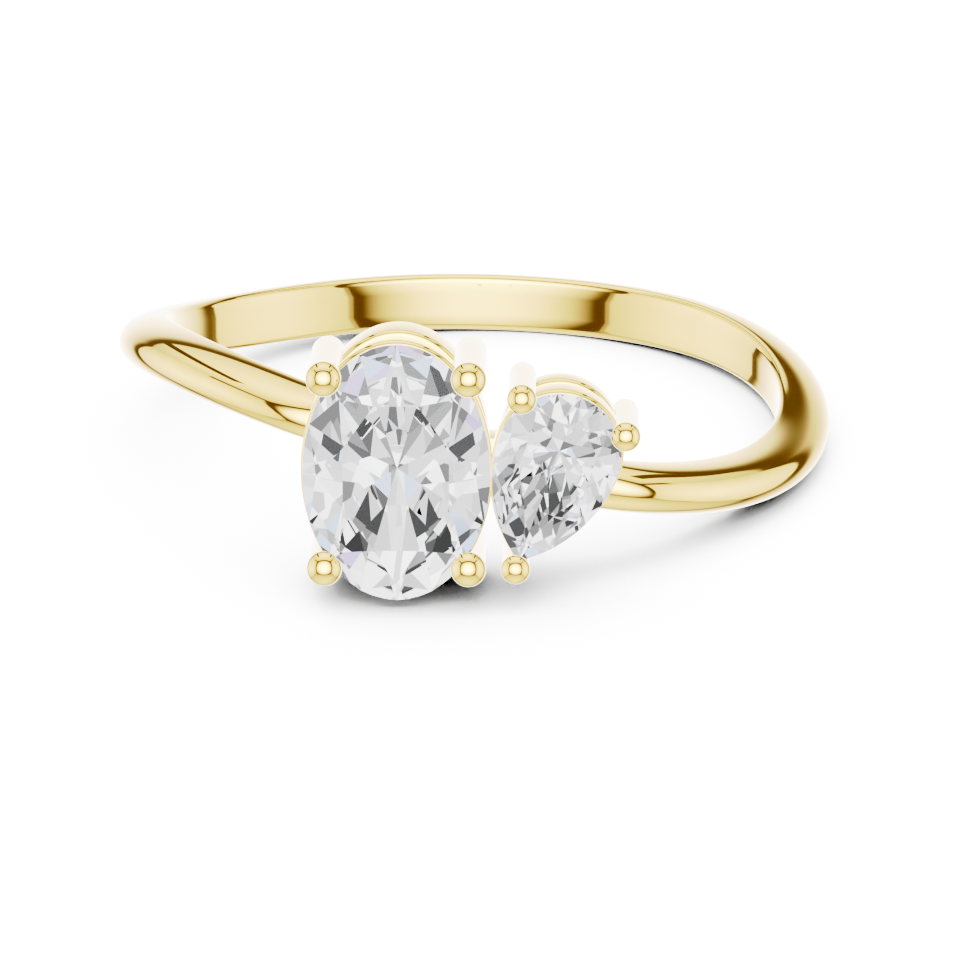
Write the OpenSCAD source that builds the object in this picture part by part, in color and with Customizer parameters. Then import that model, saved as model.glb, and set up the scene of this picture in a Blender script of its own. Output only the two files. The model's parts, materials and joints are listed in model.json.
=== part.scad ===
/* [Finger hole] */
// Inside diameter, across the finger hole
finger_d = 17.3; // [15:0.1:20]

/* [Band] */
// Thickness at the back
back_t = 1.2; // [0.9:0.05:1.6]
// Thickness of each arm where it reaches its setting
arm_t = 1.5; // [1.3:0.05:1.8]
// Thickness under the settings, below the points of the stones
under_t = 0.95; // [0.8:0.05:1]
// Width at the back
back_w = 1.68; // [1.3:0.05:2.4]
// Width at the front
front_w = 1.38; // [1.2:0.05:1.8]
// Rounding of the two edges inside the finger hole
edge_r = 0.2; // [0.1:0.05:0.3]
// How far the middle of each arm swings off the ring's own plane
swing = 1.55; // [0.8:0.05:1.8]

/* [Oval stone] */
// Length of the oval, from end to end
oval_l = 6.95; // [6:0.05:8]
// Width of the oval
oval_w = 4.95; // [4.4:0.05:5]
// Depth of its lower part, from the girdle to the point
oval_depth = 2.03; // [1.8:0.01:2.1]
// Height of its crown, from the girdle to the table
oval_crown = 0.52; // [0.4:0.02:0.9]
// Place of its middle to the side of the ring's middle
oval_x = -1.86; // [-2.2:0.02:-1.8]
// Place of its middle along the finger hole
oval_z = 0.36; // [0:0.02:0.8]

/* [Pear stone] */
// Length of the pear, from the round end to the tip
pear_l = 4.74; // [4.2:0.02:5]
// Width of the pear
pear_w = 3.28; // [2.9:0.02:3.4]
// Depth of its lower part, from the girdle to the point
pear_depth = 1.37; // [1.2:0.01:1.7]
// Height of its crown, from the girdle to the table
pear_crown = 0.35; // [0.3:0.01:0.7]
// Place of the middle of its round end to the side of the ring's middle
pear_x = 2.42; // [2.4:0.01:2.8]
// Place of the middle of its round end along the finger hole
pear_z = 0.9; // [0.5:0.02:1.2]
// How far the pear leans away from the oval
pear_lean = 20; // [12:1:30]

/* [Cut of the stones] */
// Thickness of the girdle
girdle_t = 0.12; // [0.06:0.02:0.2]
// Width of the table as a share of the stone's
table_share = 0.61; // [0.5:0.01:0.65]

/* [Settings] */
// Height of the middle of both girdles over the finger hole
girdle_h = 3.05; // [2.95:0.05:3.6]
// Gap between each stone and the metal that holds it
seat_gap = 0.03; // [0.02:0.01:0.06]
// Width of the rails, from their outside inwards
rail_w = 0.55; // [0.4:0.05:0.7]
// How far the rails stand out past the stone's edge
rail_out = 0.06; // [0.03:0.01:0.1]
// Gap between the middle of the girdles and the upper rails
rail_gap = 0.12; // [0.1:0.01:0.2]
// Depth of the oval's upper rail, from the girdle down
oval_rail_t = 0.55; // [0.4:0.05:0.8]
// Depth of the pear's upper rail, from the girdle down
pear_rail_t = 1; // [0.5:0.05:1.1]
// Gap between the girdle and the lower rails, which end with the prongs
low_rail_gap = 1.65; // [1.4:0.05:1.8]
// How far the lower rails stand in from the upper ones
low_rail_in = 0.1; // [0:0.02:0.2]
// Depth of the bridge between the baskets, from the girdle's side to the finger
bridge_t = 0.93; // [0.7:0.01:1]
// Top face of the bridge between the baskets, along the finger hole
bridge_top = 0.92; // [0.7:0.02:1.2]
// Height of the bridge along the finger hole
bridge_h = 1.3; // [0.8:0.05:1.4]

/* [Prongs] */
// Thickness of the oval's prongs
oval_prong_d = 0.87; // [0.7:0.01:1]
// Ball on the tip of each of them
oval_ball_d = 0.94; // [0.88:0.01:1.1]
// Length of the oval's prongs behind the girdle
oval_prong_l = 2.85; // [2.8:0.05:2.95]
// Distance between the oval's prongs across the stone
oval_prong_x = 3.8; // [3.6:0.02:4]
// Distance between the oval's prongs along the stone
oval_prong_y = 5.16; // [5:0.02:5.4]
// Thickness of the pear's prongs
pear_prong_d = 0.72; // [0.6:0.01:0.8]
// Ball on the tip of each of them
pear_ball_d = 0.78; // [0.74:0.01:0.9]
// Length of the pear's prongs behind the girdle
pear_prong_l = 2.48; // [2.4:0.05:2.9]
// Angle of the pear's two upper prongs from its own axis
pear_prong_a = 53; // [45:1:60]
// How far the middle of the pear's prongs lies past the stone's edge
pear_prong_out = 0.18; // [0.12:0.01:0.25]
// How far the balls stand in front of the girdle
ball_rise = 0.15; // [0.1:0.01:0.25]

/* [Hidden] */
$fn = 64;
bore_r = finger_d / 2;
girdle_y = -(bore_r + girdle_h);
gold = [0.91, 0.79, 0.5];
diamond = [0.86, 0.89, 0.93, 0.6];

// Swing of the band's middle line, as waves round the ring: waves, share of the first
SWING = [[1, 1], [2, -0.6], [3, 0.03], [4, 0.06]];
function swing_sum(a) = [for (s = SWING) s[1] * sin(s[0] * a)] * [for (s = SWING) 1];
swing_peak = max([for (a = [0:180]) swing_sum(a)]);
function band_z(a) = -swing * swing_sum(a) / swing_peak;

// Thickness of the band: it grows from the back, at angle 0, to where the arms end, at arm_a,
// and is thinned from there to under_a, for the points of the stones at the front, at 180
arm_a = 148;
under_a = 166;
function ease(s) = let (c = min(1, max(0, s))) c * c * c * (10 - 15 * c + 6 * c * c);
function turned(a) = a > 180 ? 360 - a : a;
function band_t(a) =
    let (u = turned(a))
    back_t + (arm_t - back_t) * ease(u / arm_a)
    + (under_t - arm_t) * ease((u - arm_a) / (under_a - arm_a));
function band_w(a) = back_w + (front_w - back_w) * (1 - cos(a)) / 2;

// Section of the band as [out from the finger hole, along it], from one inner edge to the other.
// It starts bore_skin inside the finger hole, which is cut out of it afterwards.
bore_skin = 0.25;
dome_power = 0.92;
dome_step = 15;
edge_step = 30;
function dome(t, w) = [
    for (q = [-90:dome_step:90])
        [edge_r + (t - edge_r) * pow(cos(q), dome_power), sign(q) * w / 2 * pow(abs(sin(q)), dome_power)]
];
function inner_edge(w, side) = [
    for (q = [edge_step, 2 * edge_step])
        [edge_r * (1 - cos(q)), side * (w / 2 - edge_r * (1 - sin(q)))]
];
function band_section(a) =
    let (t = band_t(a), w = band_w(a), top = inner_edge(w, 1))
    concat(
        [[-bore_skin, -(w / 2 - edge_r)]],
        inner_edge(w, -1),
        dome(t, w),
        [for (i = [len(top) - 1:-1:0]) top[i]],
        [[-bore_skin, w / 2 - edge_r]]
    );
function on_band(a, p) = [(bore_r + p[0]) * sin(a), (bore_r + p[0]) * cos(a), band_z(a) + p[1]];

band_step = 5;
ANGLES = [0:band_step:360 - band_step];
module band() {
    rows = [for (a = ANGLES) [for (p = band_section(a)) on_band(a, p)]];
    n = len(rows);
    m = len(rows[0]);
    polyhedron(
        [for (row = rows) each row],
        [
            for (i = [0:n - 1], j = [0:m - 1])
                let (k = (i + 1) % n, l = (j + 1) % m)
                each [[i * m + j, k * m + j, k * m + l], [i * m + j, k * m + l, i * m + l]]
        ]
    );
}

// Outlines of the stones: the point at angle a, moved outwards by d. The pear is half a circle
// round its own origin and two longer arcs, which meet in the tip below it.
function oval_at(a, d) =
    let (n = [cos(a) / oval_w, sin(a) / oval_l])
    [oval_w / 2 * cos(a), oval_l / 2 * sin(a)] + d * n / norm(n);

pear_r = pear_w / 2;
pear_tip = pear_l - pear_r;
side_shift = (pear_tip * pear_tip - pear_r * pear_r) / pear_w;
function tip_angle(d) = acos(side_shift / (side_shift + pear_r + d));
function pear_at(a, d) =
    let (r = pear_r + d, s = side_shift + r, u = (a + 360) % 360)
    u <= 180 ? r * [cos(u), sin(u)]
    : u >= 270 ? let (f = tip_angle(d) * (360 - u) / 90) [s * cos(f) - side_shift, -s * sin(f)]
    : let (f = tip_angle(d) * (u - 180) / 90) [side_shift - s * cos(f), -s * sin(f)];

// The girdle is a polygon, with per_main edges for each of the main facets
function edge_at(pear, a, d) = pear ? pear_at(a, d) : oval_at(a, d);
mains = 8;
per_main = 6;
edges = mains * per_main;
function edge_angle(j) = j * 360 / edges;
module outline(pear, d) {
    polygon([for (j = [0:edges - 1]) edge_at(pear, edge_angle(j), d)]);
}

// A cut stone. Each facet is a plane through three points, and they meet as in a brilliant.
kite_share = 0.55;
lower_share = 0.73;
function lift(p, z) = [p[0], p[1], z];
function unit(v) = v / norm(v);
function normal(p, q, r) = unit(cross(q - p, r - p));
// Where the planes with normals m and n through p and q meet at height z
function meet(p, m, q, n, z) =
    let (e = m * p - m[2] * z, f = n * q - n[2] * z, k = m[0] * n[1] - m[1] * n[0])
    [(e * n[1] - f * m[1]) / k, (m[0] * f - n[0] * e) / k, z];
// Height of the plane through p with normal n over the point q
function plane_z(p, n, q) = p[2] - (n[0] * (q[0] - p[0]) + n[1] * (q[1] - p[1])) / n[2];

// One side of a stone, from its edge at edge_z to its table or point at top:
// the corners of the table, the knees where two mains and two halves meet, and its edge.
// The first of its mains stands on the edge's point number first.
function side(pear, grow, edge_z, top, share, knee_share, first) =
    let (
        edge = [for (j = [0:edges - 1]) edge_at(pear, edge_angle(j), grow)],
        foot = [for (i = [0:mains]) lift(edge[(first + i * per_main) % edges], edge_z)],
        corner = [for (p = foot) lift(share * p, top)],
        ahead = [for (i = [0:mains]) let (j = first + i * per_main)
            lift(edge[(j + 1) % edges] - edge[(j + edges - 1) % edges], 0)],
        face = [for (i = [0:mains]) normal(foot[i], corner[i], foot[i] + ahead[i])],
        knee_z = edge_z + knee_share * (top - edge_z),
        knee = [for (i = [0:mains - 1]) meet(foot[i], face[i], foot[i + 1], face[i + 1], knee_z)],
        half = per_main / 2,
        between = [for (i = [0:mains - 1]) lift(edge[(first + i * per_main + half) % edges], edge_z)],
        rim = [for (i = [0:mains - 1], k = [0:per_main - 1])
            let (
                p = edge[(first + i * per_main + k) % edges],
                n = k < half ? normal(knee[i], foot[i], between[i]) : normal(knee[i], between[i], foot[i + 1])
            )
            lift(p, plane_z(knee[i], n, p))]
    )
    [[for (i = [0:mains - 1]) corner[i]], knee, rim];

// The mains stand between the stone's axes, but the oval's lower ones stand on them.
module brilliant(pear, crown, depth, grow) {
    rise = girdle_t / 2 + grow;
    first = per_main / 2;
    low_first = pear ? first : 0;
    upper = side(pear, grow, rise, rise + crown + grow, table_share, kite_share, first);
    lower = side(pear, grow, -rise, -rise - depth - grow, 0, lower_share, low_first);
    function below(j) = (j + first - low_first) % edges;
    corner = 0;
    knee = corner + mains;
    rim = knee + mains;
    low_rim = rim + edges;
    low_knee = low_rim + edges;
    point = low_knee + mains;
    polyhedron(
        concat(upper[0], upper[1], upper[2], lower[2], lower[1], [lower[0][0]]),
        concat(
            [[for (i = [mains - 1:-1:0]) corner + i]],
            [for (i = [0:mains - 1]) each
                let (
                    next = (i + 1) % mains,
                    last = (i + mains - 1) % mains,
                    a = i * per_main,
                    steps = [0:per_main / 2]
                )
                [
                    [corner + i, corner + next, knee + i],
                    [corner + i, knee + i, rim + a, knee + last],
                    concat([knee + i], [for (k = steps) rim + (a + per_main / 2 - k)]),
                    concat([knee + i], [for (k = steps) rim + (a + per_main - k) % edges]),
                    [point, low_knee + last, low_rim + a, low_knee + i],
                    concat([low_knee + i], [for (k = steps) low_rim + a + k]),
                    concat([low_knee + i], [for (k = steps) low_rim + (a + per_main / 2 + k) % edges])
                ]
            ],
            [for (j = [0:edges - 1])
                [rim + j, rim + (j + 1) % edges, low_rim + below(j + 1), low_rim + below(j)]]
        )
    );
}

// From a stone's own frame, its crown upwards, to its place at the front of the ring
module at_oval() translate([oval_x, girdle_y, oval_z]) rotate([90, 0, 0]) children();
module at_pear() translate([pear_x, girdle_y, pear_z]) rotate([90, 0, 0]) rotate([0, 0, -pear_lean]) children();

module oval_brilliant(grow) at_oval() brilliant(false, oval_crown, oval_depth, grow);
module pear_brilliant(grow) at_pear() brilliant(true, pear_crown, pear_depth, grow);

module rail(pear, bottom, top, inset) {
    translate([0, 0, -bottom])
        linear_extrude(bottom - top)
            difference() {
                outline(pear, rail_out - inset);
                outline(pear, rail_out - inset - rail_w);
            }
}

module prong(p, d, ball_d, l) {
    translate([p[0], p[1], -l]) cylinder(d = d, h = l + ball_rise);
    translate([p[0], p[1], ball_rise]) sphere(d = ball_d);
}

module oval_basket() {
    rail(false, oval_rail_t, rail_gap, 0);
    rail(false, oval_prong_l, low_rail_gap, low_rail_in);
    for (x = [-1, 1], y = [-1, 1])
        prong([x * oval_prong_x / 2, y * oval_prong_y / 2], oval_prong_d, oval_ball_d, oval_prong_l);
}

module pear_basket() {
    rail(true, pear_rail_t, rail_gap, 0);
    rail(true, pear_prong_l, low_rail_gap, low_rail_in);
    for (a = [90 - pear_prong_a, 90 + pear_prong_a, 270])
        prong(pear_at(a, pear_prong_out), pear_prong_d, pear_ball_d, pear_prong_l);
}

bridge_proud = 0.1;
module bridge() {
    x0 = oval_x + oval_w / 2 - rail_w / 2;
    x1 = pear_x - pear_r + rail_w / 2;
    translate([x0, girdle_y + low_rail_gap - bridge_proud, bridge_top - bridge_h])
        cube([x1 - x0, bridge_t, bridge_h]);
}

// How the ring rests on a flat surface: on a corner of the oval's lower rail and on two points
// under the band, one at the back and one on the lower arm. The rest of the band lies above them.
foot = [oval_x, girdle_y + oval_prong_l, oval_z - oval_l / 2 - rail_out + low_rail_in];
back_a = 50;
front_a = 165;
slack = 0.0001;
function under_band(a) = on_band(a, [edge_r, -band_w(a) / 2]);
under_back = [for (a = [-back_a:band_step:back_a]) under_band(a)];
under_arm = [for (a = [back_a + band_step:band_step:front_a]) under_band(a)];
upright = [
    for (p = under_back, q = under_arm)
        let (n = normal(foot, q, p))
        if (min([for (b = concat(under_back, under_arm)) n * (b - foot)]) > -slack) n
][0];
function stood(p) =
    let (v = cross(upright, [0, 0, 1]))
    upright[2] * p + cross(v, p) + v * (v * p) / (1 + upright[2]);

// The origin is on that surface, below the middle of the ring as it rests
skin = [for (a = ANGLES, p = band_section(a)) stood(on_band(a, p))];
crowns = [
    for (z = [-1, 1])
        stood([oval_x, girdle_y - girdle_t / 2 - oval_crown, oval_z + z * table_share * oval_l / 2])[1]
];
balls = [
    for (x = [-1, 1], z = [-1, 1])
        stood([oval_x + x * oval_prong_x / 2, girdle_y - ball_rise, oval_z + z * oval_prong_y / 2])[1]
        - oval_ball_d / 2
];
middle_x = (min([for (p = skin) p[0]]) + max([for (p = skin) p[0]])) / 2;
middle_y = (min(concat(crowns, balls)) + max([for (p = skin) p[1]])) / 2;
lowest_z = min([for (p = skin) p[2]]);
module resting() {
    translate([-middle_x, -middle_y, -lowest_z])
        rotate(acos(upright[2]), cross(upright, [0, 0, 1]))
            children();
}

bore_h = 4 * (swing + back_w);
bore_sides = 128;
module gold_mount() {
    color(gold) resting()
        difference() {
            union() {
                band();
                at_oval() oval_basket();
                at_pear() pear_basket();
                bridge();
            }
            cylinder(r = bore_r, h = bore_h, center = true, $fn = bore_sides);
            oval_brilliant(seat_gap);
            pear_brilliant(seat_gap);
        }
}

module oval_stone() color(diamond) resting() oval_brilliant(0);
module pear_stone() color(diamond) resting() pear_brilliant(0);

gold_mount();
oval_stone();
pear_stone();
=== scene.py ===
"""A toi et moi ring: a waved gold band that carries an oval and a pear-shaped diamond side by side.

The gold is modelled in the ring's own frame, with the finger hole along Z, the back of the band at
+Y and the stones at -Y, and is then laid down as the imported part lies. Lengths are in metres.
"""

import json
import math

import bmesh
import bpy
from mathutils import Matrix, Vector


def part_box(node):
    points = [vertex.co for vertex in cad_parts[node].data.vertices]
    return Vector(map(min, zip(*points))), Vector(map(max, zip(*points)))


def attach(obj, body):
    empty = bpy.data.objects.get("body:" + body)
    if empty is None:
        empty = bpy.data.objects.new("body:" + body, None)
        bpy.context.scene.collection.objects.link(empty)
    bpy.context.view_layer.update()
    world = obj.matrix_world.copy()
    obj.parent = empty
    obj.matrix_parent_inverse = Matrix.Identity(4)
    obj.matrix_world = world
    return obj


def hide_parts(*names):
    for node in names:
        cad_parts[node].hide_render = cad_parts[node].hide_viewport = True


bl_info = {
    "name": "Toi et moi ring",
    "version": (1, 0, 0),
    "blender": (4, 5, 0),
    "location": "View3D > Sidebar > Ring",
    "description": "Builds a two-stone gold ring, its setting and a white studio",
    "category": "Object",
}

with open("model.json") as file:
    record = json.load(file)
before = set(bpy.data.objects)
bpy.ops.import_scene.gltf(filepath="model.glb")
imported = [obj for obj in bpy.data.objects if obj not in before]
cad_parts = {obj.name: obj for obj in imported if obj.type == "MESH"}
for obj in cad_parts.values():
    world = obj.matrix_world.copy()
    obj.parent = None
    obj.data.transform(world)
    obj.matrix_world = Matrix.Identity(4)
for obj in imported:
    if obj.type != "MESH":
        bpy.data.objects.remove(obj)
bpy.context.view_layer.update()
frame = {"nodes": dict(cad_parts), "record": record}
MM = 0.001
MOUNT = frame["record"]["mounts"][0]
HOLE_AXIS = Vector(MOUNT["axis"]).normalized()
UP = Vector((0, 0, 1))
LAID = Matrix.Translation(MOUNT["pos_m"]) @ UP.rotation_difference(HOLE_AXIS).to_matrix().to_4x4()
# Vertices that are closer than this are one
MERGE = 0.0005 * MM
TURN = 2 * math.pi
QUARTER = math.pi / 2


def length(name, description, millimetres):
    """A length that a user may change, held in metres."""
    return bpy.props.FloatProperty(
        name=name,
        description=description,
        default=millimetres * MM,
        min=0,
        precision=6,
        unit="LENGTH",
    )


def place(name, description, millimetres):
    """A place along an axis, held in metres, which may be below zero."""
    return bpy.props.FloatProperty(
        name=name, description=description, default=millimetres * MM, precision=6, unit="LENGTH"
    )


def angle(name, description, degrees):
    """An angle, held in radians."""
    return bpy.props.FloatProperty(
        name=name, description=description, default=math.radians(degrees), subtype="ANGLE"
    )


def factor(name, description, value, highest=1.0):
    """A plain number from 0 upwards."""
    return bpy.props.FloatProperty(
        name=name, description=description, default=value, min=0, max=highest
    )


def linear(code):
    """An sRGB hex colour as the linear red, green and blue that shaders use."""
    parts = [int(code[i : i + 2], 16) / 255 for i in (0, 2, 4)]
    return [p / 12.92 if p <= 0.04045 else ((p + 0.055) / 1.055) ** 2.4 for p in parts]


def colour(name, description, code):
    """A colour that is given as an sRGB hex value."""
    return bpy.props.FloatVectorProperty(
        name=name,
        description=description,
        default=linear(code),
        size=3,
        min=0,
        max=1,
        subtype="COLOR",
    )


class BandSizes(bpy.types.PropertyGroup):
    finger_d: length("Finger hole", "Inside diameter", 17.3)
    back_t: length("Back thickness", "Thickness at the back", 1.2)
    arm_t: length("Arm thickness", "Thickness where each arm reaches its setting", 1.5)
    under_t: length("Front thickness", "Thickness under the settings", 0.95)
    back_w: length("Back width", "Width at the back", 1.68)
    front_w: length("Front width", "Width at the front", 1.38)
    edge_r: length("Inner rounding", "Rounding of the edges inside the finger hole", 0.2)
    swing: length("Swing", "How far each arm swings off the ring's plane", 1.55)


class StoneSizes(bpy.types.PropertyGroup):
    oval_l: length("Oval length", "From end to end", 6.95)
    oval_w: length("Oval width", "Across the oval", 4.95)
    oval_x: place("Oval side place", "Its middle, to the side of the ring's middle", -1.86)
    oval_z: place("Oval height", "Its middle, along the finger hole", 0.36)
    pear_l: length("Pear length", "From the round end to the tip", 4.74)
    pear_w: length("Pear width", "Across the pear", 3.28)
    pear_x: place("Pear side place", "Middle of its round end, to the side", 2.42)
    pear_z: place("Pear height", "Middle of its round end, along the finger hole", 0.9)
    pear_lean: angle("Pear lean", "How far the pear leans away from the oval", 20)


class SettingSizes(bpy.types.PropertyGroup):
    girdle_h: length("Girdle height", "Height of both girdles over the finger hole", 3.05)
    rail_w: length("Rail width", "From the outside of a rail inwards", 0.55)
    rail_out: length("Rail stand-out", "How far the rails stand out past the stones", 0.06)
    rail_r: length("Rail rounding", "Rounding of the rails' edges", 0.15)
    rail_gap: length("Upper rail gap", "From the middle of the girdles to the upper rails", 0.12)
    oval_rail_t: length("Oval rail depth", "Depth of the oval's upper rail", 0.55)
    pear_rail_t: length("Pear rail depth", "Depth of the pear's upper rail", 1)
    low_rail_gap: length("Lower rail gap", "From the girdle to the lower rails", 1.65)
    low_rail_in: length("Lower rail inset", "How far the lower rails stand in", 0.1)
    bridge_proud: length("Bridge stand-out", "In front of the lower rails", 0.1)
    bridge_t: length("Bridge depth", "Depth of the bar between the baskets", 0.93)
    bridge_top: place("Bridge top", "Its top face, along the finger hole", 0.92)
    bridge_h: length("Bridge height", "Its height along the finger hole", 1.3)
    bridge_r: length("Bridge rounding", "Rounding of the bridge's edges", 0.06)
    seat_gap: length("Seat gap", "Between a stone and the metal round it", 0.03)


class ProngSizes(bpy.types.PropertyGroup):
    oval_d: length("Oval prong", "Thickness of the oval's prongs", 0.87)
    oval_ball_d: length("Oval ball", "Ball on the tip of the oval's prongs", 0.94)
    oval_l: length("Oval prong length", "Behind the girdle", 2.85)
    oval_x: length("Oval prongs across", "Between the prongs across the stone", 3.8)
    oval_y: length("Oval prongs along", "Between the prongs along the stone", 5.16)
    pear_d: length("Pear prong", "Thickness of the pear's prongs", 0.72)
    pear_ball_d: length("Pear ball", "Ball on the tip of the pear's prongs", 0.78)
    pear_l: length("Pear prong length", "Behind the girdle", 2.48)
    pear_a: angle("Pear prong angle", "Of the two upper prongs, from the pear's axis", 53)
    pear_out: length("Pear prong stand-out", "From the stone's edge to a prong's middle", 0.18)
    ball_rise: length("Ball rise", "How far the balls stand in front of the girdle", 0.15)


class Finishes(bpy.types.PropertyGroup):
    gold: colour("Gold", "Colour of the polished gold, seen head on", "F9D69D")
    diamond: colour("Diamond", "Body colour of the stones", "FDFDFF")
    floor: colour("Floor", "Colour of the floor", "F4F4F4")


class Studio(bpy.types.PropertyGroup):
    lens: bpy.props.FloatProperty(
        name="Lens",
        description="Focal length on a 36 mm sensor",
        default=196.68,
        min=20,
        unit="CAMERA",
    )
    distance: length("Distance", "From the camera to the ring's middle", 150.05)
    azimuth: angle("Azimuth", "Of the camera, in the ring's own frame", 0.963)
    elevation: angle("Elevation", "Of the camera, over the ring's own plane", 15.617)
    roll: angle("Roll", "Of the camera", 0.143)
    aim_x: place("Aim, sideways", "What the camera looks at, in the ring's own frame", 0.143)
    aim_z: place("Aim, height", "What the camera looks at, in the ring's own frame", -3.083)
    panels: factor("Panels", "Brightness of the studio's panels", 1.0, 5)
    floor_light: factor("Floor light", "What the floor gets on top of the panels' light", 3.0, 5)
    # Reach and depth of the floor's painted shadow, which darkens the floor's colour towards what
    # stands on it
    shadow_reach: length("Shadow reach", "How far round a thing its tight shadow goes", 5)
    shadow_depth: factor("Shadow depth", "How much the tight shadow darkens the floor", 0.55, 10)
    in_stones: factor("In the stones", "Brightness of the white patches in them", 1.35, 5)
    patches: factor("Patches", "Patches that the stones see across the studio", 5.0, 20)
    dark_patches: factor("Dark patches", "Power that spreads the greys, lower for fewer", 0.8, 5)
    mosaic_at: factor("Place of the mosaic", "Slides the patches over the studio", 15.5, 100)
    fire: factor("Fire", "Share of the patches that are tinted blue to violet", 0.03)
    seams: factor("Seams", "Brightness of the dark gaps between the panels", 0.22)
    seam_w: factor("Seam width", "Share of the front and back walls that falls to the dark", 0.27)
    side_seam_w: factor("Side seam width", "Share of the other walls that falls to the dark", 0.1)
    seam_core: factor("Seam core", "Darkest part of the gaps, as a share of the wall", 0.05)
    low_seams: factor("Low seams", "Dark that is left in the gaps round the bottom wall", 0.4)


GROUPS = {
    "ring_band": BandSizes,
    "ring_stones": StoneSizes,
    "ring_setting": SettingSizes,
    "ring_prongs": ProngSizes,
    "ring_finishes": Finishes,
    "ring_studio": Studio,
}


def sizes(name):
    return getattr(bpy.context.scene, name)


# Shapes


def smooth_step(s):
    """From 0 to 1, level at both ends."""
    c = min(1.0, max(0.0, s))
    return c * c * c * (10 - 15 * c + 6 * c * c)


# Swing of the band's middle line, as waves round the ring: waves, share of the first
SWING = ((1, 1), (2, -0.6), (3, 0.03), (4, 0.06))


def swing_sum(a):
    return sum(share * math.sin(waves * a) for waves, share in SWING)


SWING_PEAK = max(swing_sum(math.radians(a)) for a in range(181))
ARM_A = math.radians(148)
UNDER_A = math.radians(166)


def band_at(a, band):
    """Height of the band's middle line, its thickness and its width at angle a from the back."""
    turned = TURN - a if a > math.pi else a
    thickness = (
        band.back_t
        + (band.arm_t - band.back_t) * smooth_step(turned / ARM_A)
        + (band.under_t - band.arm_t) * smooth_step((turned - ARM_A) / (UNDER_A - ARM_A))
    )
    width = band.back_w + (band.front_w - band.back_w) * (1 - math.cos(a)) / 2
    return -band.swing * swing_sum(a) / SWING_PEAK, thickness, width


def oval_edge(a, out, stones):
    """A point of the oval's outline at angle a, moved outwards."""
    normal = Vector((math.cos(a) / stones.oval_w, math.sin(a) / stones.oval_l)).normalized()
    return Vector((stones.oval_w / 2 * math.cos(a), stones.oval_l / 2 * math.sin(a))) + out * normal


def pear_edge(a, out, stones):
    """A point of the pear's outline: half a circle, and two longer arcs that meet in the tip."""
    radius = stones.pear_w / 2
    tip = stones.pear_l - radius
    shift = (tip * tip - radius * radius) / stones.pear_w
    a %= TURN
    if a <= math.pi:
        return (radius + out) * Vector((math.cos(a), math.sin(a)))
    side = shift + radius + out
    tip_angle = math.acos(shift / side)
    if a >= 3 * QUARTER:
        f = tip_angle * (TURN - a) / QUARTER
        return Vector((side * math.cos(f) - shift, -side * math.sin(f)))
    f = tip_angle * (a - math.pi) / QUARTER
    return Vector((shift - side * math.cos(f), -side * math.sin(f)))


def stone_frame(pear):
    """From a stone's own frame, its crown upwards, to its place on the ring."""
    stones = sizes("ring_stones")
    front = -(sizes("ring_band").finger_d / 2 + sizes("ring_setting").girdle_h)
    x, z = (stones.pear_x, stones.pear_z) if pear else (stones.oval_x, stones.oval_z)
    lean = -stones.pear_lean if pear else 0
    facing_front = Matrix.Rotation(QUARTER, 4, "X") @ Matrix.Rotation(lean, 4, "Z")
    return Matrix.Translation((x, front, z)) @ facing_front


def loop_of(bm, points, closed):
    """Joins points in the XZ plane by edges, and returns the vertices and edges."""
    verts = [bm.verts.new((x, 0, z)) for x, z in points]
    pairs = list(zip(verts, verts[1:])) + ([(verts[-1], verts[0])] if closed else [])
    return verts + [bm.edges.new(pair) for pair in pairs]


def turned_round(bm, geometry, steps):
    """Spins a profile round the Z axis."""
    bmesh.ops.spin(
        bm, geom=geometry, cent=(0, 0, 0), axis=(0, 0, 1), angle=TURN, steps=steps, use_merge=True
    )


def made_object(name, bm, material, sharp):
    """A smooth object of a bmesh in the ring's own frame, laid down as the ring lies."""
    bmesh.ops.remove_doubles(bm, verts=bm.verts, dist=MERGE)
    bmesh.ops.recalc_face_normals(bm, faces=bm.faces)
    bm.transform(LAID)
    mesh = bpy.data.meshes.new(name)
    bm.to_mesh(mesh)
    bm.free()
    finish_mesh(mesh, material, sharp)
    piece = bpy.data.objects.new(name, mesh)
    bpy.context.scene.collection.objects.link(piece)
    return piece


def finish_mesh(mesh, material, sharp):
    """Shades a mesh smooth, but for the edges that are sharper than an angle."""
    mesh.shade_smooth()
    mesh.set_sharp_from_angle(angle=sharp)
    mesh.materials.clear()
    mesh.materials.append(material)


def gold_piece(piece):
    """The piece is part of the soldered gold mount."""
    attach(piece, "root")
    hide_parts("gold_mount")


def seated(piece, sharp):
    """Cuts the seats of both stones, a little larger than the stones, out of a piece."""
    gap = sizes("ring_setting").seat_gap
    cutters = []
    for node in ("oval_stone", "pear_stone"):
        mesh = frame["nodes"][node].data.copy()
        bm = bmesh.new()
        bm.from_mesh(mesh)
        bmesh.ops.remove_doubles(bm, verts=bm.verts, dist=MERGE)
        bmesh.ops.dissolve_limit(bm, angle_limit=math.radians(0.1), verts=bm.verts, edges=bm.edges)
        low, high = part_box(node)
        middle = (low + high) / 2
        half = min(high - low) / 2
        bmesh.ops.scale(
            bm, vec=[1 + gap / half] * 3, space=Matrix.Translation(-middle), verts=bm.verts
        )
        bm.to_mesh(mesh)
        bm.free()
        cutter = bpy.data.objects.new("seat_cutter", mesh)
        bpy.context.scene.collection.objects.link(cutter)
        cutters.append(cutter)
        cut = piece.modifiers.new("seat", "BOOLEAN")
        cut.operation = "DIFFERENCE"
        cut.solver = "EXACT"
        cut.object = cutter
    bpy.context.view_layer.update()
    material = piece.data.materials[0]
    ready = piece.evaluated_get(bpy.context.evaluated_depsgraph_get())
    mesh = bpy.data.meshes.new_from_object(ready)
    mesh.name = piece.name
    piece.modifiers.clear()
    piece.data = mesh
    finish_mesh(mesh, material, sharp)
    for cutter in cutters:
        bpy.data.objects.remove(cutter)
    return piece


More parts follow.
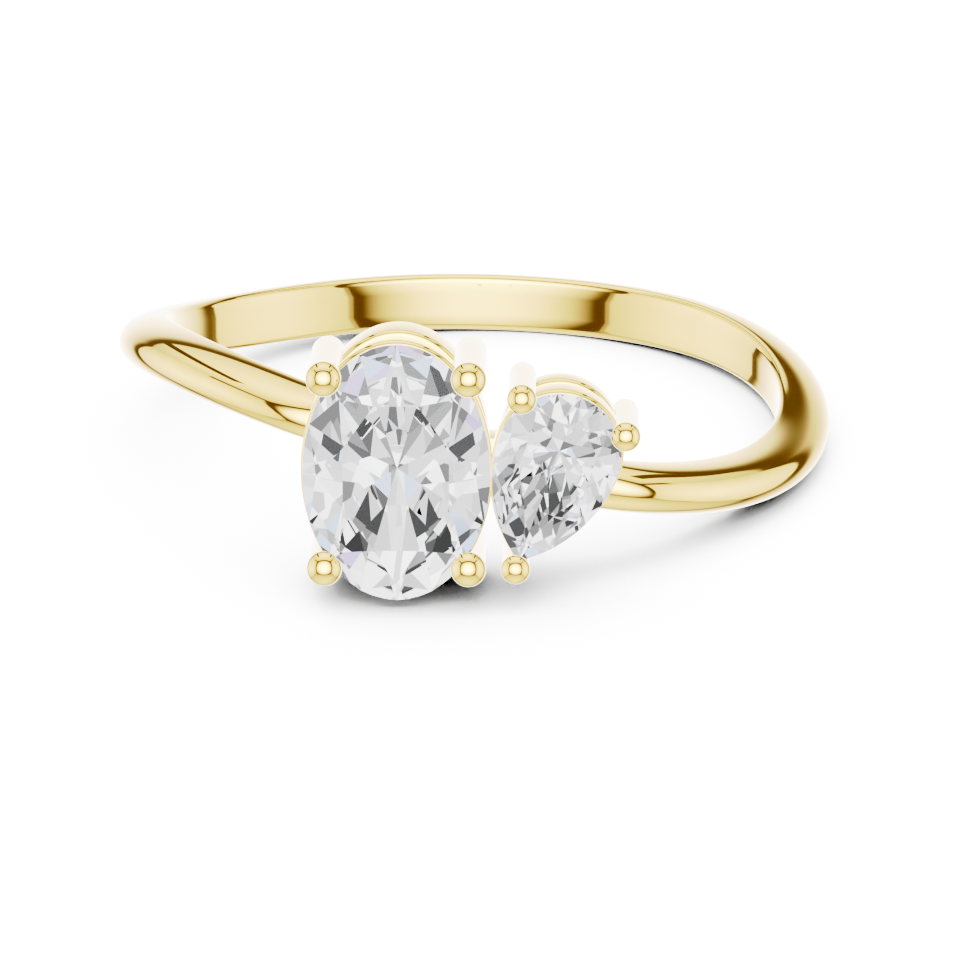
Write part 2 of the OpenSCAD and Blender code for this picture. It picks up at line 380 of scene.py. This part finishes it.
# Edges of the gold that turn by less than this are shaded smooth
SMOOTH = math.radians(35)
BAND_STEPS = 240
RAIL_STEPS = 192
PRONG_STEPS = 64


def band_profile(band):
    """The D of the band as (out, along), with its flat on the finger hole."""
    r, t, w = band.edge_r, band.back_t, band.back_w / 2
    dome_power, dome_parts, edge_parts, flat_parts = 0.92, 48, 6, 4

    def edge(side, order):
        for i in order:
            q = QUARTER * i / edge_parts
            yield r * (1 - math.cos(q)), side * (w - r * (1 - math.sin(q)))

    points = list(edge(-1, range(edge_parts)))
    for i in range(dome_parts + 1):
        q = math.pi * (i / dome_parts - 0.5)
        share = math.copysign(abs(math.sin(q)) ** dome_power, q)
        points.append((r + (t - r) * max(0.0, math.cos(q)) ** dome_power, w * share))
    points += edge(1, reversed(range(edge_parts)))
    flat = w - r
    points += [(0.0, flat - 2 * flat * i / flat_parts) for i in range(1, flat_parts)]
    return points


def make_band(material):
    band = sizes("ring_band")
    inside = band.finger_d / 2
    bm = bmesh.new()
    profile = [(inside + out, along) for out, along in band_profile(band)]
    turned_round(bm, loop_of(bm, profile, closed=True), BAND_STEPS)
    for v in bm.verts:
        a = math.atan2(v.co.x, v.co.y) % TURN
        height, thickness, width = band_at(a, band)
        out = v.co.xy.length - inside
        if out > band.edge_r:
            stretch = (thickness - band.edge_r) / (band.back_t - band.edge_r)
            out = band.edge_r + (out - band.edge_r) * stretch
        radius = inside + out
        v.co = (radius * math.sin(a), radius * math.cos(a), height + v.co.z * width / band.back_w)
    return made_object("band", bm, material, SMOOTH)


def make_rail(name, pear, bottom, top, inset, material):
    """A rail that follows a stone's outline, with rounded edges."""
    setting, stones = sizes("ring_setting"), sizes("ring_stones")
    outside = setting.rail_out - inset
    inside = outside - setting.rail_w
    edge = pear_edge if pear else oval_edge
    round_parts = 5
    r = setting.rail_r
    # The section is spun on this radius, and then bent to the stone's outline
    base = 10 * MM
    corners = ((outside, -bottom, 3), (outside, -top, 0), (inside, -top, 1), (inside, -bottom, 2))
    points = []
    for out, z, quarter in corners:
        centre = Vector((out - r if out == outside else out + r, z - r if z == -top else z + r))
        for i in range(round_parts + 1):
            q = QUARTER * (quarter + i / round_parts)
            points.append((base + centre.x + r * math.cos(q), centre.y + r * math.sin(q)))
    bm = bmesh.new()
    turned_round(bm, loop_of(bm, points, closed=True), RAIL_STEPS)
    for v in bm.verts:
        a = math.atan2(v.co.y, v.co.x)
        x, y = edge(a, v.co.xy.length - base, stones)
        v.co = (x, y, v.co.z)
    bm.transform(stone_frame(pear))
    return made_object(name, bm, material, SMOOTH)


def prong_into(bm, middle, thickness, ball_d, reach, rise):
    """A round post with a ball on its tip, turned about its own axis."""
    post, ball, bevel = thickness / 2, ball_d / 2, 0.06 * MM
    neck = math.asin(post / ball)
    ball_parts, bevel_parts = 24, 4
    points = [(0.0, -reach)]
    for i in range(bevel_parts + 1):
        q = QUARTER * i / bevel_parts
        points.append((post - bevel * (1 - math.sin(q)), -reach + bevel * (1 - math.cos(q))))
    for i in range(ball_parts + 1):
        q = math.pi - neck - (math.pi - neck) * i / ball_parts
        points.append((max(0.0, ball * math.sin(q)), rise + ball * math.cos(q)))
    before = set(bm.verts)
    turned_round(bm, loop_of(bm, points, closed=False), PRONG_STEPS)
    new = [v for v in bm.verts if v not in before]
    bmesh.ops.translate(bm, vec=(middle[0], middle[1], 0), verts=new)


def make_prongs(name, pear, material):
    prongs, stones = sizes("ring_prongs"), sizes("ring_stones")
    bm = bmesh.new()
    if pear:
        angles = (QUARTER - prongs.pear_a, QUARTER + prongs.pear_a, 3 * QUARTER)
        middles = [pear_edge(a, prongs.pear_out, stones) for a in angles]
        thickness, ball_d, reach = prongs.pear_d, prongs.pear_ball_d, prongs.pear_l
    else:
        x, y = prongs.oval_x / 2, prongs.oval_y / 2
        middles = [(-x, -y), (-x, y), (x, -y), (x, y)]
        thickness, ball_d, reach = prongs.oval_d, prongs.oval_ball_d, prongs.oval_l
    for middle in middles:
        prong_into(bm, middle, thickness, ball_d, reach, prongs.ball_rise)
    bm.transform(stone_frame(pear))
    return made_object(name, bm, material, SMOOTH)


def make_bridge(material):
    setting, stones = sizes("ring_setting"), sizes("ring_stones")
    left = stones.oval_x + stones.oval_w / 2 - setting.rail_w / 2
    right = stones.pear_x - stones.pear_w / 2 + setting.rail_w / 2
    front = -(sizes("ring_band").finger_d / 2 + setting.girdle_h) + setting.low_rail_gap
    front -= setting.bridge_proud
    size = (right - left, setting.bridge_t, setting.bridge_h)
    middle = ((left + right) / 2, front + size[1] / 2, setting.bridge_top - size[2] / 2)
    bm = bmesh.new()
    bmesh.ops.create_cube(bm, size=1)
    bmesh.ops.scale(bm, vec=size, verts=bm.verts)
    bmesh.ops.translate(bm, vec=middle, verts=bm.verts)
    bmesh.ops.bevel(
        bm,
        geom=bm.edges[:],
        offset=setting.bridge_r,
        affect="EDGES",
        segments=4,
        profile=0.5,
        material=-1,
    )
    return made_object("bridge", bm, material, SMOOTH)


# Materials


MATH = "ShaderNodeMath"
VECTOR_MATH = "ShaderNodeVectorMath"
MAP_RANGE = "ShaderNodeMapRange"


def add_node(tree, kind, inputs=(), **settings):
    """Adds a node, sets it, and fills its inputs with values, or with links from other nodes.

    The inputs come in their order, or by number or name. A node gives its first output.
    """
    node = tree.nodes.new(kind)
    for key, value in settings.items():
        setattr(node, key, value)
    for key, value in inputs.items() if isinstance(inputs, dict) else enumerate(inputs):
        if isinstance(value, bpy.types.Node):
            value = value.outputs[0]
        if isinstance(value, bpy.types.NodeSocket):
            tree.links.new(value, node.inputs[key])
        else:
            node.inputs[key].default_value = value
    return node


def new_material(name):
    """A material with an empty Principled surface, and its tree and shader."""
    material = bpy.data.materials.new(name)
    material.use_nodes = True
    return material, material.node_tree, material.node_tree.nodes["Principled BSDF"]


def let_by(tree, shader, depth, limit):
    """Lets the rays whose depth is over the limit go straight through the surface."""
    over = add_node(tree, MATH, (depth, limit), operation="GREATER_THAN")
    straight = add_node(tree, "ShaderNodeBsdfTransparent")
    surface = add_node(tree, "ShaderNodeMixShader", (over, shader, straight))
    tree.links.new(surface.outputs[0], tree.nodes["Material Output"].inputs["Surface"])


# Swirls of the buff per metre, so that each is about half a millimetre across, and the roughness
# of the gold between and on them
SWIRLS = 2200.0
GOLD_ROUGHNESS = (0.035, 0.075)
# A ray that has met a surface at least once has a depth over this
ONCE = 0.5


def polished_gold():
    """14 carat yellow gold, lapped and buffed: a mirror with a warm tint and faint swirls.

    It mirrors the studio alone: rays from gold or out of a stone go straight through it.
    """
    material, tree, shader = new_material("polished_14ct_gold")
    shader.inputs["Metallic"].default_value = 1.0
    shader.inputs["Base Color"].default_value = (*sizes("ring_finishes").gold, 1)
    place_on = add_node(tree, "ShaderNodeTexCoord").outputs["Object"]
    swirls = add_node(
        tree,
        "ShaderNodeTexNoise",
        {"Vector": place_on, "Scale": SWIRLS, "Detail": 3.0, "Roughness": 0.6},
    )
    smoothest, roughest = GOLD_ROUGHNESS
    spread = add_node(
        tree,
        MAP_RANGE,
        {"Value": swirls.outputs["Fac"], "To Min": smoothest, "To Max": roughest},
    )
    tree.links.new(spread.outputs["Result"], shader.inputs["Roughness"])
    path = add_node(tree, "ShaderNodeLightPath").outputs
    passed = add_node(
        tree, MATH, (path["Glossy Depth"], path["Transmission Depth"]), operation="ADD"
    )
    let_by(tree, shader, passed, ONCE)
    return material


# Reflections inside a stone before a ray goes straight out
REFLECTIONS = 3


def cut_diamond(name):
    """Colourless diamond with polished facets: clear, with the highest gloss of any gem.

    A ray that has been reflected often enough goes straight out, so that the picture in the stone
    is made of few, large facets, as the stones of the photo show it. So does a ray from the gold.
    """
    material, tree, shader = new_material(name)
    shader.inputs["Base Color"].default_value = (*sizes("ring_finishes").diamond, 1)
    shader.inputs["Transmission Weight"].default_value = 1.0
    shader.inputs["Roughness"].default_value = 0.0
    shader.inputs["IOR"].default_value = 2.417
    shader.inputs["Specular Tint"].default_value = (0.25, 0.25, 0.25, 1)
    path = add_node(tree, "ShaderNodeLightPath").outputs
    outside = add_node(tree, MATH, (path["Transmission Depth"], ONCE), operation="LESS_THAN")
    weight = add_node(tree, MATH, (outside, REFLECTIONS, 1), operation="MULTIPLY_ADD")
    reflections = add_node(tree, MATH, (path["Glossy Depth"], weight), operation="MULTIPLY")
    let_by(tree, shader, reflections, REFLECTIONS - 0.5)
    return material


def matt_floor():
    """A white lacquered sweep, matt, which the light washes out round the ring.

    Its colour is painted darker towards what stands on it: a painted shadow from ambient occlusion,
    on top of the real one, as tight as the product photo's shadows.
    """
    material, tree, shader = new_material("white_lacquer_floor")
    studio = sizes("ring_studio")
    open_sky = add_node(
        tree, "ShaderNodeAmbientOcclusion", {"Distance": studio.shadow_reach}, samples=8
    ).outputs["AO"]
    depth = add_node(tree, MATH, (open_sky, studio.shadow_depth), operation="POWER")
    # Painted shadow: the floor's colour goes towards black where ambient occlusion finds things
    # close by
    painted_shadow = add_node(
        tree,
        "ShaderNodeMix",
        {0: depth, 6: (0, 0, 0, 1), 7: (*sizes("ring_finishes").floor, 1)},
        data_type="RGBA",
    )
    tree.links.new(painted_shadow.outputs[2], shader.inputs["Base Color"])
    shader.inputs["Roughness"].default_value = 0.6
    shader.inputs["Specular IOR Level"].default_value = 0.2
    return material


# The studio

# Walls of the studio in the camera's own axes: way towards the wall, distance from the ring,
# brightness in the middle of the wall's panel, share of it that is lost towards the panel's edges
STUDIO_WALLS = {
    "right": ((1, 0, 0), 1.31, 1.8, 0.35),
    "left": ((-1, 0, 0), 1.48, 1.7, 0.35),
    "top": ((0, 1, 0), 1.38, 1.7, 0.4),
    "bottom": ((0, -1, 0), 1.0, 1.4, 0.4),
    "front": ((0, 0, 1), 1.0, 3.6, 0.85),
    "back": ((0.25, 0, -1), 1.22, 2.4, 0.7),
}
# A way meets the wall that it leans to most, and two values that differ by less are the same
SAME_WALL = 1e-5
# Height below the ring, in the camera's axes, from which the gaps are at their palest
LOW = -0.5
# Dark ribs on the top wall behind the ring: their place to the side as a share of the height, and
# half their width
RIBS = 0.52
RIB_W = 0.06
# Colour of the tinted patches in the stones: how strong, and the hues from blue to violet
TINT = 0.3
BLUE, VIOLET = 0.55, 0.75
# Response of the camera: light that comes in, light that it shows
RESPONSE = (
    (0.09, 0.0),
    (0.16, 0.06),
    (0.25, 0.2),
    (0.33, 0.31),
    (0.43, 0.44),
    (0.61, 0.62),
    (1.02, 0.78),
    (1.5, 0.9),
    (2.0, 0.955),
    (3.0, 1.0),
)


def mosaic(tree, way):
    """What the stones see of the studio: bright and dark patches, a few of them tinted.

    Each facet shows one patch, as the facets of a stone that is turned in a jeweller's light do,
    and the sides of the studio mirror each other.
    """
    studio = sizes("ring_studio")
    mirrored = add_node(tree, VECTOR_MATH, (way,), operation="ABSOLUTE")
    slid = add_node(tree, VECTOR_MATH, (mirrored, (studio.mosaic_at, 0, 0)), operation="ADD")
    patches = add_node(
        tree, "ShaderNodeTexVoronoi", {"Vector": slid, "Scale": studio.patches}
    ).outputs["Color"]
    chance = add_node(tree, "ShaderNodeSeparateColor", (patches,)).outputs
    spread = add_node(tree, MATH, (chance[0], studio.dark_patches), operation="POWER")
    level = add_node(tree, MAP_RANGE, {"Value": spread, "To Min": 0.0, "To Max": studio.in_stones})
    fire = add_node(tree, MATH, (chance[2], 1 - studio.fire), operation="GREATER_THAN")
    tint = add_node(tree, MATH, (fire, TINT), operation="MULTIPLY")
    hue = add_node(tree, MAP_RANGE, {"Value": chance[1], "To Min": BLUE, "To Max": VIOLET})
    return add_node(tree, "ShaderNodeCombineColor", (hue, tint, level), mode="HSV")


def room(tree, way):
    """Light from a room of softboxes: one panel on each wall, with dark gaps between them."""
    studio = sizes("ring_studio")
    along = add_node(tree, "ShaderNodeSeparateXYZ", (way,)).outputs
    walls = {}
    for name, (towards, distance, *_) in STUDIO_WALLS.items():
        facing = add_node(tree, VECTOR_MATH, (way, towards), operation="DOT_PRODUCT")
        walls[name] = add_node(tree, MATH, (facing.outputs["Value"], distance), operation="DIVIDE")
    across = add_node(tree, MATH, (walls["right"], walls["left"]), operation="MAXIMUM")
    upright = add_node(tree, MATH, (walls["top"], walls["bottom"]), operation="MAXIMUM")
    depth = add_node(tree, MATH, (walls["front"], walls["back"]), operation="MAXIMUM")
    side = add_node(tree, MATH, (across, upright), operation="MAXIMUM")
    largest = add_node(tree, MATH, (side, depth), operation="MAXIMUM")

    # The panels, which lose light off the middle of their wall
    reach = add_node(tree, "ShaderNodeCombineXYZ", (across, upright, depth))
    length_of = add_node(tree, VECTOR_MATH, (reach,), operation="LENGTH").outputs["Value"]
    slant = add_node(tree, MATH, (length_of, largest), operation="DIVIDE")
    squared = add_node(tree, MATH, (slant, slant), operation="MULTIPLY")
    less_one = add_node(tree, MATH, (squared, 1.0), operation="SUBTRACT")
    off_middle = add_node(tree, MATH, (less_one,), operation="SQRT")
    light = 0.0
    for name, (*_, level, loss) in STUDIO_WALLS.items():
        seen = add_node(tree, MATH, (walls[name], largest, SAME_WALL), operation="COMPARE")
        panel = add_node(tree, MATH, (off_middle, -loss * level, level), operation="MULTIPLY_ADD")
        light = add_node(tree, MATH, (seen, panel, light), operation="MULTIPLY_ADD")
    light = add_node(tree, MATH, (light, studio.seams), operation="MAXIMUM")

    # The gaps, from the edge of one panel to the edge of the next
    on_side = add_node(tree, MATH, (side, depth), operation="GREATER_THAN")
    ahead = add_node(tree, MATH, (along[2], 0.0), operation="GREATER_THAN")
    smaller = add_node(tree, MATH, (across, upright), operation="MINIMUM")
    corner = add_node(tree, MATH, (smaller, side), operation="DIVIDE")
    side_ahead = add_node(tree, MATH, (on_side, ahead), operation="MULTIPLY")
    near_corner = add_node(tree, MATH, (corner, side_ahead), operation="MULTIPLY")
    shallower = add_node(tree, MATH, (side, depth), operation="MINIMUM")
    near_depth = add_node(tree, MATH, (shallower, largest), operation="DIVIDE")
    near_edge = add_node(tree, MATH, (near_corner, near_depth), operation="MAXIMUM")
    narrower = studio.seam_w - studio.side_seam_w
    fall = add_node(
        tree, MATH, (on_side, narrower, 1 - studio.seam_w), operation="MULTIPLY_ADD"
    )
    seam = add_node(
        tree,
        MAP_RANGE,
        {"Value": near_edge, "From Min": fall, "From Max": 1 - studio.seam_core},
        interpolation_type="SMOOTHSTEP",
    )
    low = add_node(
        tree,
        MAP_RANGE,
        {"Value": along[1], "From Min": LOW, "From Max": 0.0, "To Min": studio.low_seams},
    )
    gap = add_node(tree, MATH, (seam, low), operation="MULTIPLY")

    # The ribs
    lean = add_node(tree, MATH, (along[0], along[1]), operation="DIVIDE")
    aside = add_node(tree, MATH, (lean,), operation="ABSOLUTE")
    rib = add_node(tree, MATH, (aside, RIBS, RIB_W), operation="COMPARE")
    on_top = add_node(tree, MATH, (walls["top"], largest, SAME_WALL), operation="COMPARE")
    top_behind = add_node(tree, MATH, (on_top, ahead), operation="GREATER_THAN")
    ribs = add_node(tree, MATH, (rib, top_behind), operation="MULTIPLY")

    dark = add_node(tree, MATH, (gap, ribs), operation="MAXIMUM")
    return add_node(tree, "ShaderNodeMix", {0: dark, 2: light, 3: studio.seams})


def studio_world():
    """A room of softboxes, turned to the camera, whose light the stones see as a mosaic."""
    studio = sizes("ring_studio")
    world = bpy.data.worlds.new("studio")
    world.use_nodes = True
    tree = world.node_tree
    tree.nodes.clear()
    camera_axes = bpy.context.scene.camera.matrix_world.to_3x3().normalized()
    seen_way = add_node(tree, "ShaderNodeTexCoord").outputs["Generated"]
    turn = camera_axes.transposed().to_euler()
    way = add_node(tree, "ShaderNodeMapping", {"Vector": seen_way, "Rotation": turn})
    path = add_node(tree, "ShaderNodeLightPath").outputs
    strength = add_node(
        tree,
        MATH,
        (path["Is Diffuse Ray"], studio.floor_light, studio.panels),
        operation="MULTIPLY_ADD",
    )
    from_stone = add_node(
        tree, MATH, (path["Transmission Depth"], ONCE), operation="GREATER_THAN"
    )
    light = add_node(
        tree,
        "ShaderNodeMix",
        {0: from_stone, 6: room(tree, way), 7: mosaic(tree, way)},
        data_type="RGBA",
    ).outputs[2]
    background = add_node(tree, "ShaderNodeBackground", {"Color": light, "Strength": strength})
    add_node(tree, "ShaderNodeOutputWorld", (background,))
    bpy.context.scene.world = world


def set_response(view):
    """Contrast of the picture: soft in the lights and firm in the darks."""
    view.use_curve_mapping = True
    curves = view.curve_mapping
    curves.white_level = [RESPONSE[-1][0]] * 3
    points = curves.curves[-1].points
    for light_in, light_out in RESPONSE[:-1]:
        points.new(light_in / RESPONSE[-1][0], light_out)
    curves.update()


FLOOR_R = 0.6


def make_floor():
    """A round floor, wide enough to fill every view."""
    bm = bmesh.new()
    bmesh.ops.create_circle(bm, cap_ends=True, segments=96, radius=FLOOR_R)
    mesh = bpy.data.meshes.new("floor")
    bm.to_mesh(mesh)
    bm.free()
    mesh.materials.append(matt_floor())
    floor = bpy.data.objects.new("floor", mesh)
    floor.visible_glossy = False
    floor.visible_transmission = False
    bpy.context.scene.collection.objects.link(floor)


def make_camera():
    """The photo's camera, which is set in the ring's own frame and laid down with it."""
    studio = sizes("ring_studio")
    az, el = studio.azimuth, studio.elevation
    back = Vector((math.sin(az) * math.cos(el), -math.cos(az) * math.cos(el), math.sin(el)))
    right = (-back).cross(UP).normalized()
    up = right.cross(-back)
    turned_right = right * math.cos(studio.roll) + up * math.sin(studio.roll)
    turned_up = up * math.cos(studio.roll) - right * math.sin(studio.roll)
    place_at = Vector((studio.aim_x, 0, studio.aim_z)) + back * studio.distance
    axes = Matrix((turned_right, turned_up, back)).transposed().to_4x4()
    data = bpy.data.cameras.new("camera")
    data.lens = studio.lens
    data.sensor_width = 36
    data.clip_start = 0.005
    camera = bpy.data.objects.new("camera", data)
    camera.matrix_world = LAID @ Matrix.Translation(place_at) @ axes
    bpy.context.scene.collection.objects.link(camera)
    bpy.context.scene.camera = camera


# Operators


class RING_OT_band(bpy.types.Operator):
    """Makes the waved gold band"""

    bl_idname = "ring.band"
    bl_label = "Band"

    def execute(self, context):
        gold_piece(make_band(bpy.data.materials.get("polished_14ct_gold") or polished_gold()))
        return {"FINISHED"}


class RING_OT_baskets(bpy.types.Operator):
    """Makes the rails and prongs of both baskets, with their seats, and the bridge between them"""

    bl_idname = "ring.baskets"
    bl_label = "Baskets"

    def execute(self, context):
        setting, prongs = sizes("ring_setting"), sizes("ring_prongs")
        gold = bpy.data.materials.get("polished_14ct_gold") or polished_gold()
        for stone, pear, depth, reach in (
            ("oval", False, setting.oval_rail_t, prongs.oval_l),
            ("pear", True, setting.pear_rail_t, prongs.pear_l),
        ):
            upper = make_rail(f"{stone}_upper_rail", pear, depth, setting.rail_gap, 0.0, gold)
            lower = make_rail(
                f"{stone}_lower_rail", pear, reach, setting.low_rail_gap, setting.low_rail_in, gold
            )
            posts = make_prongs(f"{stone}_prongs", pear, gold)
            gold_piece(seated(upper, SMOOTH))
            gold_piece(lower)
            gold_piece(seated(posts, SMOOTH))
        gold_piece(make_bridge(gold))
        return {"FINISHED"}


class RING_OT_stones(bpy.types.Operator):
    """Finishes both stones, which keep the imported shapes"""

    bl_idname = "ring.stones"
    bl_label = "Stones"

    def execute(self, context):
        for stone in ("oval", "pear"):
            mesh = frame["nodes"][f"{stone}_stone"].data
            mesh.materials.clear()
            mesh.materials.append(cut_diamond(f"{stone}_diamond"))
            mesh.shade_flat()
        return {"FINISHED"}


# Most surfaces that a ray may meet, inside the stones too
BOUNCES = 32


class RING_OT_stage(bpy.types.Operator):
    """Sets up the camera, the white floor and the studio's light"""

    bl_idname = "ring.stage"
    bl_label = "Stage"

    def execute(self, context):
        scene = context.scene
        make_camera()
        make_floor()
        studio_world()
        scene.view_settings.view_transform = "Standard"
        scene.view_settings.look = "None"
        set_response(scene.view_settings)
        scene.cycles.max_bounces = BOUNCES
        scene.cycles.transmission_bounces = BOUNCES
        scene.cycles.glossy_bounces = BOUNCES
        scene.cycles.caustics_reflective = False
        scene.cycles.caustics_refractive = False
        return {"FINISHED"}


OPERATORS = (RING_OT_stage, RING_OT_band, RING_OT_baskets, RING_OT_stones)


class RING_PT_panel(bpy.types.Panel):
    """Lists the pieces of the ring and the sizes they take"""

    bl_idname = "RING_PT_panel"
    bl_label = "Toi et moi ring"
    bl_space_type = "VIEW_3D"
    bl_region_type = "UI"
    bl_category = "Ring"

    def draw(self, context):
        for operator in OPERATORS:
            self.layout.operator(operator.bl_idname)
        for name, group in GROUPS.items():
            box = self.layout.box()
            for key in group.__annotations__:
                box.prop(getattr(context.scene, name), key)


def register():
    for name, group in GROUPS.items():
        bpy.utils.register_class(group)
        setattr(bpy.types.Scene, name, bpy.props.PointerProperty(type=group))
    for cls in (*OPERATORS, RING_PT_panel):
        bpy.utils.register_class(cls)


def unregister():
    for cls in reversed((*OPERATORS, RING_PT_panel)):
        bpy.utils.unregister_class(cls)
    for name, group in reversed(GROUPS.items()):
        delattr(bpy.types.Scene, name)
        bpy.utils.unregister_class(group)


def main():
    register()
    bpy.ops.ring.stage()
    bpy.ops.ring.band()
    bpy.ops.ring.baskets()
    bpy.ops.ring.stones()


if __name__ == "__main__":
    main()
